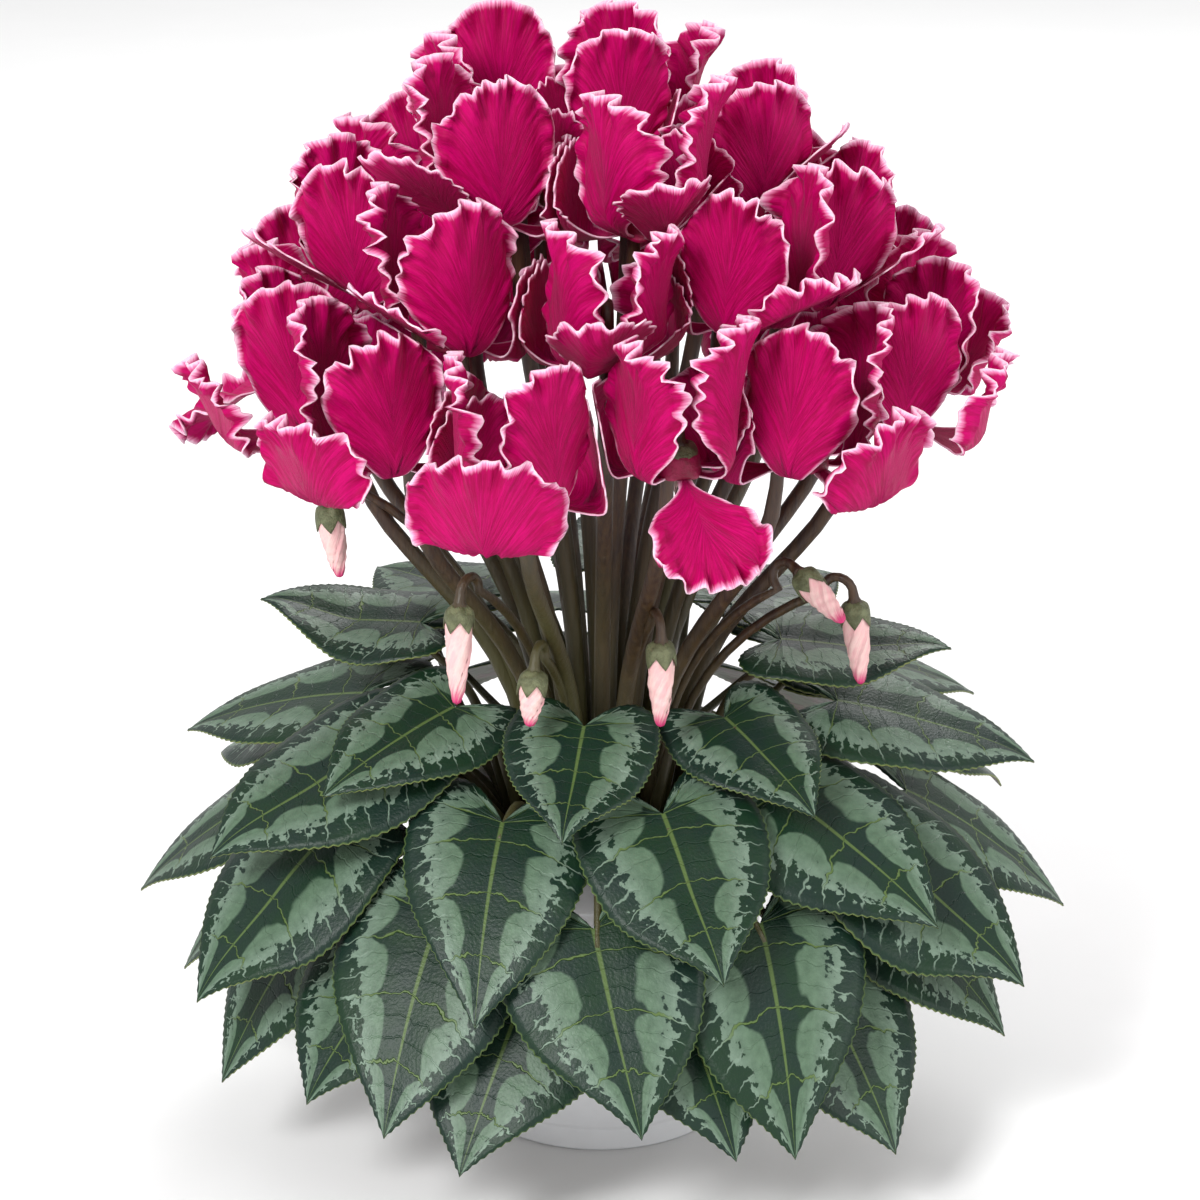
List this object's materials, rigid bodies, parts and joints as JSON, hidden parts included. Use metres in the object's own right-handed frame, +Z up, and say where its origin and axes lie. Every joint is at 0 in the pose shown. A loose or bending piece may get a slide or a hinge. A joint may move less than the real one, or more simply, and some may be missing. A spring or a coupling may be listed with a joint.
{
  "type": "florist's cyclamen in a pot",
  "caption": "Florist's cyclamen in a white round pot: a dome of frilled upright blooms and hanging buds on bare hooked stems over tiers of heart-shaped leaves, free standing",
  "frame": {"origin": "The middle of the pot's flat underside, on the surface that it stands on.", "axes": "+Z up along the pot's axis, -Y towards the side that the picture shows, +X to that view's right."},
  "size_m": [0.3409, 0.299, 0.4124],
  "materials": {
    "pot_plastic": "smooth off-white plastic with a soft shine",
    "soil": "dark crumbly peat soil, dry and matte",
    "stem": "smooth waxy stems, reddish brown turning olive low down, over a corky corm",
    "leaf": "dark green heart leaves marbled with silver green between pale veins, satin",
    "petal": "satin magenta petals with a frilled margin that fades to pale pink and white",
    "bud": "furled pale pink petals with a magenta tip"
  },
  "bodies": {
    "root": {"pot": "pot_plastic", "soil": "soil", "corm_and_stems": "stem", "leaf_tuft_01": "leaf", "leaf_tuft_02": "leaf", "leaf_tuft_03": "leaf", "leaf_tuft_04": "leaf", "leaf_tuft_05": "leaf", "leaf_tuft_06": "leaf", "leaf_tuft_07": "leaf", "leaf_tuft_08": "leaf", "leaf_tuft_09": "leaf", "leaf_tuft_10": "leaf", "leaf_tuft_11": "leaf", "leaf_tuft_12": "leaf", "bloom_01": "petal", "bloom_02": "petal", "bloom_03": "petal", "bloom_04": "petal", "bloom_05": "petal", "bloom_06": "petal", "bloom_07": "petal", "bloom_08": "petal", "bloom_09": "petal", "bloom_10": "petal", "bloom_11": "petal", "bloom_12": "petal", "bloom_13": "petal", "bloom_14": "petal", "bloom_15": "petal", "bloom_16": "petal", "bloom_17": "petal", "bloom_18": "petal", "bloom_19": "petal", "bloom_20": "petal", "bloom_21": "petal", "bloom_22": "petal", "bloom_23": "petal", "bloom_24": "petal", "bloom_25": "petal", "bloom_26": "petal", "bloom_27": "petal", "bud_01": "bud", "bud_02": "bud", "bud_03": "bud", "bud_04": "bud", "bud_05": "bud", "bud_06": "bud", "bud_07": "bud", "bud_08": "bud"}
  },
  "joints": []
}
